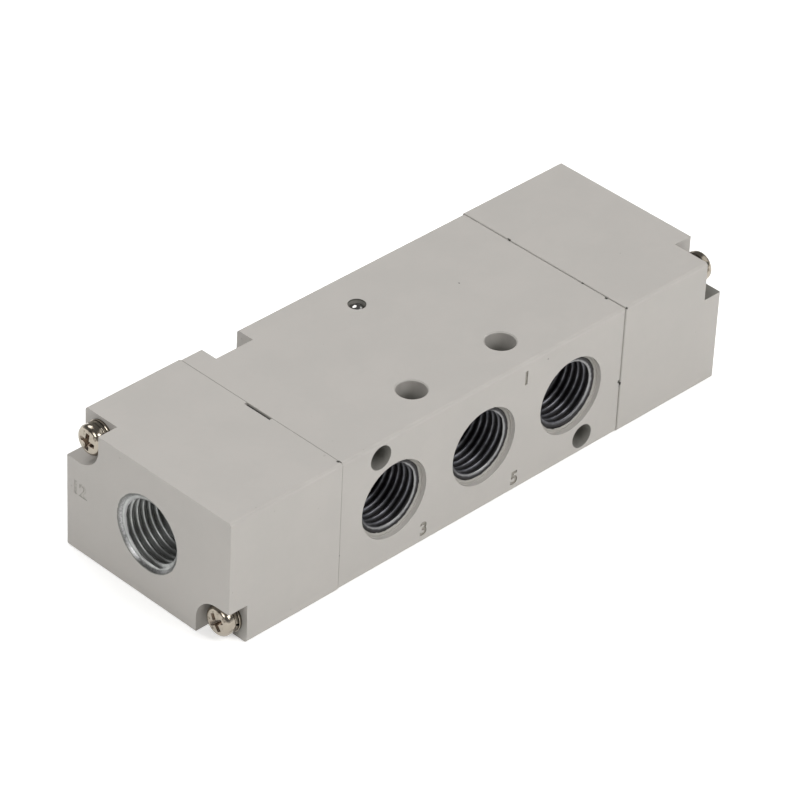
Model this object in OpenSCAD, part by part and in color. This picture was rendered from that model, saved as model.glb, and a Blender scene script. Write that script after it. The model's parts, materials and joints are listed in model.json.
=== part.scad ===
// Air operated 5/2 spool valve with a pilot piston in each end cap.
// Origin: middle of the underside. X runs along the spool, ports 1, 3 and 5 face -Y,
// ports 2 and 4 face +Y, and the pilot ports face -X and +X.
// The spool is drawn at its -X end of travel.

/* [Valve body] */
// Length of the body between its two end caps
body_l = 65.6; // [64:0.4:72]
// Width of the body across the ports
body_w = 38.2; // [37.4:0.2:42]
// Height of the body, whose underside is flush with the caps'
body_h = 25.35; // [25.15:0.1:28.05]
// Radius of the cast outer edges along the valve
edge_r = 0.6; // [0.4:0.1:1.5]
// Edge break where body and caps meet
seam_r = 0.2; // [0.1:0.05:0.4]

/* [Air ports] */
// Distance from port 1 to ports 3 and 5
port_pitch = 20.6; // [20.2:0.1:21]
// Height by which port 3 is lowered and port 5 raised, clear of the side holes
port_step = 0.5; // [0:0.1:0.8]
// Major diameter of the quarter inch pipe thread
thread_d = 13.16; // [12.6:0.02:13.4]
// Depth of a port from the face to its floor
port_depth = 11; // [9:0.5:11.5]
// Diameter of the flat recess round each port
recess_d = 14.6; // [14:0.1:15.2]
// Depth of the recess round each port
recess_depth = 0.9; // [0.5:0.1:1.2]
// Width of the chamfer at the mouth of ports 1 to 5
thread_chamfer = 0.35; // [0.2:0.05:0.5]
// Diameter of the throat from a port into its gallery
throat_d = 4.8; // [4:0.1:4.8]

/* [Spool bore] */
// Diameter of the spool bore
bore_d = 11; // [10.4:0.1:11.6]
// Diameter of the ring galleries round the bore
gallery_d = 13.5; // [12.8:0.1:14]
// Width of the galleries of ports 1, 2 and 4
gallery_w = 6.2; // [5.6:0.1:6.6]
// Width of the galleries of ports 3 and 5
exhaust_w = 5; // [5:0.1:5.6]
// Size of the lead-in chamfer at both ends of the bore
bore_chamfer = 0.5; // [0.2:0.1:0.8]

/* [Spool] */
// Travel of the spool from one end to the other
stroke = 4; // [3.4:0.1:4.4]
// Radial gap between the spool's lands and the bore
land_gap = 0.1; // [0.05:0.01:0.15]
// Width of each land that carries a seal
land_w = 4.4; // [4:0.1:5]
// Diameter of the spool between its lands
waist_d = 6.4; // [5:0.1:7]
// Distance from the body's end to the middle of the end seal at its nearest
end_inset = 4.1; // [3.4:0.1:4.6]
// Section of a spool seal ring
seal_section = 1.6; // [1.2:0.1:1.8]
// Radial gap of a seal ring to the wall that it slides on
seal_fit = 0.04; // [0.02:0.01:0.08]
// Play of a seal ring on the floor of its groove
seal_seat = 0.02; // [0.01:0.01:0.05]
// Play on each side of a seal ring in its groove
seal_side = 0.15; // [0.1:0.05:0.3]

/* [End caps] */
// Length of each end cap
cap_l = 24.2; // [23.5:0.1:27]
// Step by which the caps stand out past the body's top and side faces
cap_lip = 0.15; // [0.05:0.05:0.4]
// Edge break round a cap's end face
end_break = 0.15; // [0.1:0.05:0.4]
// Depth of the pilot port from the end face
pilot_depth = 10.5; // [9:0.5:11]
// Width of the chamfer at the mouth of a pilot port
pilot_chamfer = 0.5; // [0.3:0.05:0.7]
// Diameter of the air passage from the pilot port to the piston
passage_d = 4; // [2:0.5:6]
// Width of a screw pocket, from the side face
pocket_w = 7.6; // [7:0.1:7.8]
// Height of a screw pocket, from the top or bottom face
pocket_h = 7.6; // [7:0.1:7.8]
// Depth of a screw pocket, from the end face
pocket_depth = 4; // [3.4:0.1:5]
// Radius of a screw pocket's inner corner
pocket_r = 4.8; // [3:0.1:5]

/* [Pilot pistons] */
// Diameter of the piston chamber in each cap
chamber_d = 18; // [17:0.1:18.6]
// Depth of the piston chamber from the mating face
chamber_depth = 10; // [9.7:0.1:10.8]
// Thickness of a piston's disc
piston_t = 5; // [4.2:0.1:5.4]
// Length of a piston's stem
stem_l = 4.5; // [3.9:0.1:4.6]
// Diameter of a piston's stem and of the spool's ends
stem_d = 8; // [6:0.1:9]
// Radial gap between a piston and its chamber
piston_gap = 0.1; // [0.05:0.01:0.2]
// Gap left between a piston and the chamber's floor at the end of travel
stop_gap = 0.1; // [0.05:0.01:0.2]
// Section of a piston seal ring
piston_section = 2; // [1.4:0.1:2.4]
// Diameter of the air dimple in a piston's back
dimple_d = 7; // [4:0.5:10]
// Depth of the air dimple in a piston's back
dimple_depth = 1.2; // [0.5:0.1:2]

/* [Cap gaskets] */
// Inner diameter of the gasket groove
gasket_d = 20.4; // [20:0.1:20.8]
// Width of the gasket groove
gasket_w = 1.2; // [0.8:0.1:1.4]
// Depth of the gasket groove
gasket_t = 1; // [0.8:0.1:1.5]
// Play of the gasket against the walls of its groove
gasket_play = 0.05; // [0.02:0.01:0.1]
// Width of the slot in the cap's edge that shows the gasket's tab
slot_w = 6; // [3:0.1:7]
// Thickness of that slot along the valve
slot_t = 0.7; // [0.3:0.05:0.8]
// Distance from the face down to the tab's end
tab_drop = 0.5; // [0.2:0.1:0.8]

/* [Cap screws] */
// Thread diameter of the cap screws
screw_d = 3; // [2.5:0.1:3]
// Distance of a cap screw from the side face
screw_inset_y = 3.9; // [3.6:0.05:4.1]
// Distance of a cap screw from the top or bottom face
screw_inset_z = 3.45; // [3.3:0.05:3.8]
// Length of thread that a cap screw has in the body
screw_grip = 3.6; // [3:0.1:3.7]
// Diameter of a screw head
head_d = 5.5; // [5:0.1:5.6]
// Height of a screw head
head_h = 2; // [1.6:0.1:2.2]
// Radius round the top edge of a screw head
head_round = 0.5; // [0.3:0.1:1.1]
// Radial gap between a screw and the hole in the cap
screw_clear = 0.2; // [0.1:0.05:0.25]
// Radial play of the screw in its tapped hole
thread_play = 0.02; // [0.01:0.01:0.04]
// Outer diameter of the spring washers
spring_washer_d = 5.4; // [5:0.1:5.6]
// Thickness of the spring washers
spring_washer_t = 0.7; // [0.5:0.05:0.8]
// Outer diameter of the flat washers
flat_washer_d = 5.6; // [5:0.1:6]
// Thickness of the flat washers
flat_washer_t = 0.5; // [0.3:0.05:0.6]
// Radial gap between washers and screw
washer_clear = 0.15; // [0.05:0.05:0.25]
// Width of the split in a spring washer
washer_split = 0.45; // [0.2:0.05:0.8]
// Width of a bar of the cross recess
recess_bar = 0.8; // [0.6:0.1:1]
// Span of the cross recess
recess_span = 3.2; // [2.6:0.1:3.6]
// Depth of the cross recess
cross_depth = 1.2; // [0.8:0.1:1.4]

/* [Mounting holes] */
// Diameter of the two vertical mounting holes
top_hole_d = 5.3; // [4.3:0.1:5.5]
// Distance of the vertical holes from the face with ports 1, 3 and 5
top_hole_inset = 7.2; // [6.5:0.1:7.6]
// Edge break of the vertical holes
top_hole_break = 0.2; // [0.1:0.05:0.4]
// Diameter of the two cross mounting holes
side_hole_d = 4.5; // [3.4:0.1:4.6]
// Distance of a cross hole from the body's end
side_hole_inset = 8.7; // [8.3:0.1:9.2]
// Distance of a cross hole from the top or bottom face of the caps
side_hole_z = 3.25; // [3:0.05:3.35]
// Width of the notch round the far end of a cross hole
notch_w = 8.2; // [7:0.1:8.2]
// Depth of the notch from the face with ports 2 and 4
notch_depth = 3.8; // [2:0.1:4]

/* [Ball plug] */
// Diameter of the ball that plugs the supply passage
ball_d = 3.1; // [2.5:0.1:3.4]
// Distance of the ball from the face with ports 2 and 4
ball_inset = 7.7; // [7:0.1:8.4]
// Depth of the ball's top below the top face
ball_sink = 0.1; // [0:0.05:0.4]
// Radial gap between the ball and its hole
ball_fit = 0.03; // [0.01:0.01:0.05]
// Diameter of the passage under the ball
drill_d = 2; // [1.5:0.1:2.4]

/* [Hidden] */
$fn = 96;

// Cuts reach this far past the surface that they open
over = 1;

// The bore axis is halfway up the caps, which stand out above the body but not below it
cap_w = body_w + 2 * cap_lip;
cap_h = body_h + cap_lip;
axis_z = cap_h / 2;

// Ports 2 and 4 lie midway between their neighbours, as the vertical holes do
half_pitch = port_pitch / 2;
bore_r = bore_d / 2;
gallery_r = gallery_d / 2;
thread_r = thread_d / 2;
// A throat starts inside the bore's own void
throat_start = bore_r * 0.6;

// Seal places, measured from the middle of the spool
inner_seal = gallery_w / 2;
middle_seal = half_pitch + gallery_w / 2 + stroke;
outer_seal = body_l / 2 - end_inset - stroke / 2;
SEALS = [-outer_seal, -middle_seal, -inner_seal, inner_seal, middle_seal, outer_seal];

// Place of the stem's tip when its piston is at its stop, inside the cap
stem_tip = chamber_depth - stop_gap - piston_t - stem_l;
spool_half = body_l / 2 + stem_tip - stroke / 2;
spool_x = -stroke / 2;
land_r = bore_r - land_gap;
land_chamfer = 0.3;

gasket_r = gasket_d / 2;
washer_stack = flat_washer_t + spring_washer_t;
washer_r = screw_d / 2 + washer_clear;
screw_l = cap_l - pocket_depth + washer_stack + screw_grip;
tap_spare = 0.4;
split_angle = 20;

side_hole_x = body_l / 2 - side_hole_inset;
ball_y = body_w / 2 - ball_inset;
ball_z = body_h - ball_sink - ball_d / 2;
// The ball rests on the mouth of its passage
ball_seat = ball_z - sqrt(pow(ball_d / 2, 2) - pow(drill_d / 2, 2)) - ball_fit;

CAST = [0.72, 0.71, 0.67];
ALUMINIUM = [0.80, 0.80, 0.82];
RUBBER = [0.08, 0.08, 0.08];
ACETAL = [0.90, 0.89, 0.85];
NICKEL = [0.75, 0.72, 0.66];
STEEL = [0.85, 0.86, 0.88];

// What is cut from an outline's corner at the origin to round it
module corner_trim(r) {
    difference() {
        translate([-over, -over]) square(r + over);
        translate([r, r]) circle(r);
    }
}

// Rectangle whose corners at u0 have radius r0 and those at u1 radius r1
module rounded_outline(u0, u1, v0, v1, r0, r1) {
    difference() {
        translate([u0, v0]) square([u1 - u0, v1 - v0]);
        translate([u0, v0]) corner_trim(r0);
        translate([u0, v1]) mirror([0, 1, 0]) corner_trim(r0);
        translate([u1, v0]) mirror([1, 0, 0]) corner_trim(r1);
        translate([u1, v1]) mirror([1, 0, 0]) mirror([0, 1, 0]) corner_trim(r1);
    }
}

// Cast block from x0 to x1, with edges of radius r0 and r1 round its two end faces
module cast_block(x0, x1, width, height, r0, r1) {
    side = width / 2;
    intersection() {
        translate([x0, 0, 0]) rotate([90, 0, 90]) linear_extrude(x1 - x0)
            rounded_outline(-side, side, 0, height, edge_r, edge_r);
        linear_extrude(height) rounded_outline(x0, x1, -side, side, r0, r1);
        translate([0, side, 0]) rotate([90, 0, 0]) linear_extrude(width)
            rounded_outline(x0, x1, 0, height, r0, r1);
    }
}

// Outline of a disc of radius r between two heights, to be revolved
module step(r, low, high) {
    translate([0, low]) square([r, high - low]);
}

// Outline of a disc with both edges chamfered, to be revolved
module chamfered_step(r, low, high, chamfer) {
    polygon([[0, low], [r - chamfer, low], [r, low + chamfer], [r, high - chamfer],
        [r - chamfer, high], [0, high]]);
}

// Revolves an outline about the X axis, with the outline's height along +X
module revolve_x() {
    rotate([0, 90, 0]) rotate_extrude() children();
}

// Moves what is drawn round the bore axis up to that axis
module on_axis() {
    translate([0, 0, axis_z]) children();
}

// The near cap's mating face is at X = 0 here and the cap runs to -X
module at_end_a() {
    translate([-body_l / 2, 0, 0]) children();
}

// The far cap is the same casting turned over
module at_end_b() {
    translate([body_l / 2, 0, cap_h]) rotate([0, 180, 0]) children();
}

// Screw place near the top and the +Y side of an end, turned about the bore axis when asked
module at_screw(turned) {
    on_axis() rotate([turned ? 180 : 0, 0, 0])
        translate([0, cap_w / 2 - screw_inset_y, axis_z - screw_inset_z]) children();
}

// Outline of the lead-in chamfer into a hole of radius r whose mouth is at height top
module mouth_chamfer(r, size, top) {
    wide = r + size;
    polygon([[0, top - size], [r, top - size], [wide, top], [wide, top + over], [0, top + over]]);
}

// Void of one air port, with its mouth at the origin and opening to +Z
module port_void() {
    rotate_extrude() {
        step(recess_d / 2, -recess_depth, over);
        mouth_chamfer(thread_r, thread_chamfer, -recess_depth);
        step(thread_r, -port_depth, 0);
        step(throat_d / 2, throat_start - body_w / 2, 0);
    }
}

module front_port(x, z) {
    translate([x, -body_w / 2, z]) rotate([90, 0, 0]) port_void();
}

module rear_port(x, z) {
    translate([x, body_w / 2, z]) rotate([-90, 0, 0]) port_void();
}

// Bore with its five ring galleries
module bore_void() {
    half = body_l / 2;
    on_axis() revolve_x() {
        step(bore_r, -half - over, half + over);
        for (x = [-half_pitch, 0, half_pitch]) step(gallery_r, x - gallery_w / 2, x + gallery_w / 2);
        for (x = [-port_pitch, port_pitch]) step(gallery_r, x - exhaust_w / 2, x + exhaust_w / 2);
        mouth_chamfer(bore_r, bore_chamfer, half);
        mirror([0, 1, 0]) mouth_chamfer(bore_r, bore_chamfer, half);
    }
}

module top_hole(x) {
    translate([x, top_hole_inset - body_w / 2, 0]) rotate_extrude() {
        step(top_hole_d / 2, -over, body_h + over);
        mouth_chamfer(top_hole_d / 2, top_hole_break, body_h);
        mirror([0, 1, 0]) mouth_chamfer(top_hole_d / 2, top_hole_break, 0);
    }
}

// Cross hole above the bore axis, with the notch round its far end
module side_hole() {
    translate([-side_hole_x, 0, axis_z - side_hole_z]) {
        rotate([90, 0, 0]) cylinder(d = side_hole_d, h = body_w + 2 * over, center = true);
        translate([0, body_w / 2 + over, 0]) rotate([90, 0, 0]) linear_extrude(notch_depth + over) {
            circle(d = notch_w);
            translate([-notch_w / 2, 0]) square([notch_w, axis_z]);
        }
    }
}

// Ball hole, and the passage from there to the gallery of port 1
module ball_void() {
    translate([0, ball_y, 0]) rotate_extrude() {
        step(ball_d / 2 + ball_fit, ball_seat, body_h + over);
        step(drill_d / 2, axis_z - drill_d, body_h);
    }
    translate([0, ball_y, axis_z]) rotate([90, 0, 0]) cylinder(d = drill_d, h = ball_y - bore_r);
}

module valve_body() {
    color(CAST) difference() {
        cast_block(-body_l / 2, body_l / 2, body_w, body_h, seam_r, seam_r);
        bore_void();
        front_port(-port_pitch, axis_z - port_step);
        front_port(0, axis_z);
        front_port(port_pitch, axis_z + port_step);
        rear_port(-half_pitch, axis_z);
        rear_port(half_pitch, axis_z);
        top_hole(-half_pitch);
        top_hole(half_pitch);
        on_axis() for (turn = [0, 180]) rotate([0, turn, 0]) side_hole();
        ball_void();
        at_end_a() tapped_holes();
        at_end_b() tapped_holes();
    }
}

// Two tapped holes in the body's end, which lies to +X of the mating face
module tapped_holes() {
    for (turned = [false, true]) at_screw(turned)
        revolve_x() step(screw_d / 2 + thread_play, -over, screw_grip + tap_spare);
}

module pocket_void() {
    translate([-cap_l - over, 0, 0]) rotate([90, 0, 90]) linear_extrude(pocket_depth + over)
        translate([cap_w / 2, axis_z]) mirror([1, 0, 0]) mirror([0, 1, 0]) difference() {
            translate([-over, -over]) square([pocket_w + over, pocket_h + over]);
            translate([pocket_w, pocket_h]) mirror([1, 0, 0]) mirror([0, 1, 0]) corner_trim(pocket_r);
        }
}

module end_cap() {
    color(CAST) difference() {
        cast_block(-cap_l, 0, cap_w, cap_h, end_break, seam_r);
        on_axis() revolve_x() {
            step(chamber_d / 2, -chamber_depth, over);
            step(passage_d / 2, -cap_l, 0);
            step(thread_r, -cap_l - over, pilot_depth - cap_l);
            mirror([0, 1, 0]) mouth_chamfer(thread_r, pilot_chamfer, cap_l);
            difference() {
                step(gasket_r + gasket_w, -gasket_t, over);
                step(gasket_r, -gasket_t, over);
            }
        }
        translate([-slot_t, -slot_w / 2, axis_z + gasket_r]) cube([slot_t + over, slot_w, axis_z]);
        on_axis() for (turn = [0, 180]) rotate([turn, 0, 0]) pocket_void();
        for (turned = [false, true]) at_screw(turned)
            revolve_x() step(screw_d / 2 + screw_clear, -cap_l, over);
    }
}

module cap_gasket() {
    ring_low = gasket_r + gasket_play;
    ring_high = gasket_r + gasket_w - gasket_play;
    tab_w = slot_w - 2 * gasket_play;
    color(RUBBER) on_axis() {
        revolve_x() difference() {
            step(ring_high, gasket_play - gasket_t, 0);
            step(ring_low, -gasket_t, over);
        }
        translate([gasket_play - slot_t, -tab_w / 2, ring_low + gasket_w / 2])
            cube([slot_t - gasket_play, tab_w, axis_z - tab_drop - ring_low - gasket_w / 2]);
    }
}

// Ring of round section that fits a wall of radius wall_r
module seal_ring(wall_r, section) {
    color(RUBBER) on_axis() revolve_x()
        translate([wall_r - seal_fit - section / 2, 0]) circle(d = section);
}

// Outline of the groove that holds a ring, to be taken from a revolved outline
module seal_groove(wall_r, section) {
    floor_r = wall_r - seal_fit - section - seal_seat;
    half_w = section / 2 + seal_side;
    translate([floor_r, -half_w]) square([wall_r, 2 * half_w]);
}

module spool() {
    centre_r = 1.2;
    color(ALUMINIUM) translate([spool_x, 0, axis_z]) revolve_x() difference() {
        union() {
            step(waist_d / 2, -outer_seal, outer_seal);
            chamfered_step(stem_d / 2, -spool_half, -outer_seal, land_chamfer);
            chamfered_step(stem_d / 2, outer_seal, spool_half, land_chamfer);
            for (x = SEALS) chamfered_step(land_r, x - land_w / 2, x + land_w / 2, land_chamfer);
        }
        for (x = SEALS) translate([0, x]) seal_groove(bore_r, seal_section);
        for (side = [0, 1]) mirror([0, side, 0])
            polygon([[0, spool_half - 2 * centre_r], [centre_r, spool_half], [0, spool_half + over]]);
    }
}

module spool_seal(index) {
    translate([spool_x + SEALS[index - 1], 0, 0]) seal_ring(bore_r, seal_section);
}

// Piston at its stop, with its stem towards the spool
module piston() {
    back = stop_gap - chamber_depth;
    front = back + piston_t;
    color(ACETAL) on_axis() revolve_x() difference() {
        union() {
            chamfered_step(chamber_d / 2 - piston_gap, back, front, land_chamfer);
            chamfered_step(stem_d / 2, back, front + stem_l, land_chamfer);
        }
        translate([0, (back + front) / 2]) seal_groove(chamber_d / 2, piston_section);
        step(dimple_d / 2, back - over, back + dimple_depth);
    }
}

module piston_seal() {
    translate([stop_gap - chamber_depth + piston_t / 2, 0, 0])
        seal_ring(chamber_d / 2, piston_section);
}

// Pan head screw: its head faces -X and seats on the washers in the cap's pocket
module cap_screw(turned) {
    head_r = head_d / 2;
    color(NICKEL) at_screw(turned) translate([pocket_depth - cap_l - washer_stack, 0, 0])
        rotate([0, -90, 0]) difference() {
            rotate_extrude() {
                step(head_r, 0, head_h - head_round);
                step(head_r - head_round, 0, head_h);
                intersection() {
                    translate([head_r - head_round, head_h - head_round]) circle(head_round);
                    step(head_r, 0, head_h);
                }
                chamfered_step(screw_d / 2, -screw_l, over, land_chamfer);
            }
            for (turn = [0, 90]) rotate([0, 0, turn])
                translate([-recess_span / 2, -recess_bar / 2, head_h - cross_depth])
                    cube([recess_span, recess_bar, cross_depth + over]);
        }
}

module spring_washer(turned) {
    cut = spring_washer_d;
    color(NICKEL) at_screw(turned) translate([pocket_depth - cap_l - washer_stack, 0, 0]) difference() {
        revolve_x() difference() {
            step(spring_washer_d / 2, 0, spring_washer_t);
            step(washer_r, -over, spring_washer_t + over);
        }
        translate([spring_washer_t / 2, cut / 2, 0]) rotate([0, split_angle, 0])
            cube([cut, cut, washer_split], center = true);
    }
}

module flat_washer(turned) {
    color(NICKEL) at_screw(turned) translate([pocket_depth - cap_l - flat_washer_t, 0, 0])
        revolve_x() difference() {
            step(flat_washer_d / 2, 0, flat_washer_t);
            step(washer_r, -over, flat_washer_t + over);
        }
}

module ball_plug() {
    color(STEEL) translate([0, ball_y, ball_z]) sphere(d = ball_d);
}

valve_body();
at_end_a() end_cap();  // end_cap_a
at_end_b() end_cap();  // end_cap_b
at_end_a() cap_gasket();  // cap_gasket_a
at_end_b() cap_gasket();  // cap_gasket_b
ball_plug();
spool();
spool_seal(1);  // spool_seal_1
spool_seal(2);  // spool_seal_2
spool_seal(3);  // spool_seal_3
spool_seal(4);  // spool_seal_4
spool_seal(5);  // spool_seal_5
spool_seal(6);  // spool_seal_6
at_end_a() piston();  // piston_a
at_end_b() translate([stroke, 0, 0]) piston();  // piston_b
at_end_a() piston_seal();  // piston_seal_a
at_end_b() translate([stroke, 0, 0]) piston_seal();  // piston_seal_b
at_end_a() cap_screw(false);  // cap_screw_a_upper
at_end_a() cap_screw(true);  // cap_screw_a_lower
at_end_b() cap_screw(true);  // cap_screw_b_upper
at_end_b() cap_screw(false);  // cap_screw_b_lower
at_end_a() spring_washer(false);  // spring_washer_a_upper
at_end_a() spring_washer(true);  // spring_washer_a_lower
at_end_b() spring_washer(true);  // spring_washer_b_upper
at_end_b() spring_washer(false);  // spring_washer_b_lower
at_end_a() flat_washer(false);  // flat_washer_a_upper
at_end_a() flat_washer(true);  // flat_washer_a_lower
at_end_b() flat_washer(true);  // flat_washer_b_upper
at_end_b() flat_washer(false);  // flat_washer_b_lower
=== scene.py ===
"""Looks of an air operated 5/2 spool valve: painted castings, cut threads and nickel plated screws."""

import json
import math

import bmesh
import bpy
from mathutils import Matrix, Vector


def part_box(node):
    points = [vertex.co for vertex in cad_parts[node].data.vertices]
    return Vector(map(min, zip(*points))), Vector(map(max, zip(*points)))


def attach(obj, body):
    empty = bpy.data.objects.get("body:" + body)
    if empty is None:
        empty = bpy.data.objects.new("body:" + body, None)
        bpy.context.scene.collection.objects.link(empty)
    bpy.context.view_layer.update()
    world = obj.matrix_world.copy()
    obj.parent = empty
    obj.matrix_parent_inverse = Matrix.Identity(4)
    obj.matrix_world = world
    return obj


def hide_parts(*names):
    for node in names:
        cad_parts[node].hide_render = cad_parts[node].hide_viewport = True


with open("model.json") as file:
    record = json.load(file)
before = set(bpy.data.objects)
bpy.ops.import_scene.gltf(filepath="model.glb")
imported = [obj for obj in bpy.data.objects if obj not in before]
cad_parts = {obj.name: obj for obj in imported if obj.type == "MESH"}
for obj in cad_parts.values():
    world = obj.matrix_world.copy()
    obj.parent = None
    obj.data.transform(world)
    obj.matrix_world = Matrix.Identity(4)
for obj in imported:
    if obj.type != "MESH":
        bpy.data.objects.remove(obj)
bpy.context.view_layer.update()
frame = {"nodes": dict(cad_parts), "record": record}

MM = 0.001
UP = Vector((0, 0, 1))
NODES = frame["nodes"]
MOUNTS = {mount["name"]: mount for mount in frame["record"]["mounts"]}
BODY_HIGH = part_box("valve_body")[1]
CAP_LOW, CAP_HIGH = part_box("end_cap_a")
CAP_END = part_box("end_cap_b")[1].x
AXIS_Z = (CAP_LOW.z + CAP_HIGH.z) / 2


# Camera, from the edges, holes and ports seen in the photograph
CAMERA_AIM = Vector((-0.522, -0.053, 12.172)) * MM
CAMERA_DISTANCE = 756.42 * MM
CAMERA_AZIMUTH = math.radians(-136.227)
CAMERA_ELEVATION = math.radians(35.596)
CAMERA_ROLL = math.radians(2.784)
CAMERA_LENS = 204.815
CAMERA_SENSOR = 36
CAMERA_NEAR_CLIP = 0.05
CAMERA_FAR_CLIP = 20


def new_object(name, data):
    """Object that is linked into the scene."""
    thing = bpy.data.objects.new(name, data)
    bpy.context.scene.collection.objects.link(thing)
    return thing


def direction(azimuth, elevation):
    """Unit vector at an azimuth from +X and an elevation above the floor, in radians."""
    flat = math.cos(elevation)
    return Vector((math.cos(azimuth) * flat, math.sin(azimuth) * flat, math.sin(elevation)))


def looking_back(away):
    """Turn of a camera or lamp that stands in a direction and looks back along it."""
    return (-away).to_track_quat("-Z", "Y").to_matrix()


def make_camera():
    data = bpy.data.cameras.new("camera")
    data.lens = CAMERA_LENS
    data.sensor_width = CAMERA_SENSOR
    data.clip_start = CAMERA_NEAR_CLIP
    data.clip_end = CAMERA_FAR_CLIP
    camera = new_object("camera", data)
    away = direction(CAMERA_AZIMUTH, CAMERA_ELEVATION)
    turn = looking_back(away) @ Matrix.Rotation(CAMERA_ROLL, 3, "Z")
    camera.matrix_world = Matrix.Translation(CAMERA_AIM + away * CAMERA_DISTANCE) @ turn.to_4x4()
    bpy.context.scene.camera = camera


# Node trees

class Shader:
    """Node tree of a material or a world, built a node at a time. Lengths in it are in metres."""

    def __init__(self, owner):
        self.owner = owner
        owner.use_nodes = True
        self.tree = owner.node_tree
        self.tree.nodes.clear()
        self.coordinates = self.add("ShaderNodeTexCoord").outputs
        self.point = self.coordinates["Object"]

    def add(self, kind, **settings):
        node = self.tree.nodes.new(kind)
        for name, value in settings.items():
            setattr(node, name, value)
        return node

    def feed(self, socket, value):
        """Links a socket to another one or sets its value, and leaves it alone for None."""
        if isinstance(value, bpy.types.NodeSocket):
            self.tree.links.new(value, socket)
        elif value is not None:
            socket.default_value = value

    def feed_color(self, socket, color):
        self.feed(socket, color if isinstance(color, bpy.types.NodeSocket) else (*color, 1))

    def math(self, operation, a, b=None):
        node = self.add("ShaderNodeMath", operation=operation)
        for socket, value in zip(node.inputs, (a, b)):
            self.feed(socket, value)
        return node.outputs[0]

    def combine(self, operation, values):
        """Takes MINIMUM or MAXIMUM over any number of values."""
        total = values[0]
        for value in values[1:]:
            total = self.math(operation, total, value)
        return total

    def vector(self, operation, a, b, output="Vector"):
        node = self.add("ShaderNodeVectorMath", operation=operation)
        self.feed(node.inputs[0], a)
        self.feed(node.inputs[1], b)
        return node.outputs[output]

    def split(self, vector):
        node = self.add("ShaderNodeSeparateXYZ")
        self.feed(node.inputs[0], vector)
        return node.outputs

    def axes(self):
        return self.split(self.point)

    def noise(self, size, detail, rough=0.5, stretch=(1, 1, 1)):
        """Noise from 0 to 1 with features of the given size."""
        node = self.add("ShaderNodeTexNoise")
        scale = tuple(axis / size for axis in stretch)
        self.feed(node.inputs["Vector"], self.vector("MULTIPLY", self.point, scale))
        node.inputs["Scale"].default_value = 1
        node.inputs["Detail"].default_value = detail
        node.inputs["Roughness"].default_value = rough
        return node.outputs["Fac"]

    def ragged(self, swing, size, **grain):
        """Length that wanders with a noise, by up to half the swing to either side of 0."""
        return self.math("MULTIPLY", self.math("SUBTRACT", self.noise(size, **grain), 0.5), swing)

    def spread(self, value, low, high, to_low=0.0, to_high=1.0, curve="SMOOTHSTEP"):
        """Step of a value, from to_low at low to to_high at high."""
        node = self.add("ShaderNodeMapRange", interpolation_type=curve)
        self.feed(node.inputs["Value"], value)
        ends = {"From Min": low, "From Max": high, "To Min": to_low, "To Max": to_high}
        for name, number in ends.items():
            node.inputs[name].default_value = number
        return node.outputs["Result"]

    def fall(self, value, low, high, level=1.0):
        """Smooth step down, from a level at low to 0 at high."""
        return self.spread(value, low, high, level, 0.0)

    def mix(self, share, a, b):
        """Colour between a and b."""
        node = self.add("ShaderNodeMix", data_type="RGBA")
        self.feed(node.inputs["Factor"], share)
        for name, value in (("A", a), ("B", b)):
            socket = next(s for s in node.inputs if s.name == name and s.type == "RGBA")
            self.feed_color(socket, value)
        return next(s for s in node.outputs if s.type == "RGBA")

    def blend(self, share, a, b):
        """Number between a and b."""
        node = self.add("ShaderNodeMix", data_type="FLOAT")
        for socket, value in zip((node.inputs[0], node.inputs[2], node.inputs[3]), (share, a, b)):
            self.feed(socket, value)
        return node.outputs[0]

    def bump(self, height, depth, strength, base=None):
        """Normal of a surface whose height from 0 to 1 spans the given depth."""
        node = self.add("ShaderNodeBump")
        node.inputs["Strength"].default_value = strength
        node.inputs["Distance"].default_value = depth
        self.feed(node.inputs["Height"], height)
        self.feed(node.inputs["Normal"], base)
        return node.outputs["Normal"]

    def close(self, surface, output="ShaderNodeOutputMaterial"):
        """Sends a surface to the tree's output and gives the material or world."""
        self.feed(self.add(output).inputs["Surface"], surface)
        return self.owner

    def finish(self, color, rough, normal, metallic=0.0, gloss=None):
        surface = self.add("ShaderNodeBsdfPrincipled")
        self.feed_color(surface.inputs["Base Color"], color)
        self.feed(surface.inputs["Roughness"], rough)
        self.feed(surface.inputs["Metallic"], metallic)
        self.feed(surface.inputs["Normal"], normal)
        self.feed(surface.inputs["Specular IOR Level"], gloss)
        return self.close(surface.outputs[0])


def material_shader(name):
    return Shader(bpy.data.materials.new(name))


# Colours, linear
PAINT = (0.494, 0.470, 0.441)
PAINT_DULL = (0.476, 0.455, 0.427)
PAINT_SPECK_AND_SHADE = (0.30, 0.285, 0.25)
SEAM_SHADE = (0.21, 0.20, 0.175)
HOLE_SHADE = (0.115, 0.115, 0.098)
# Dark rings round the threads: chipped paint and painted shade. The ports' one also colours chips and nicks
CHIP_AND_SHADE = (0.030, 0.027, 0.022)
PILOT_CHIP_AND_SHADE = (0.22, 0.22, 0.205)
RECESS_SHADE = (0.40, 0.385, 0.355)
BODY_NUMBERS = (0.34, 0.32, 0.28)
CAP_NUMBERS = (0.48, 0.46, 0.425)
BARE = (0.42, 0.42, 0.42)
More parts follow.
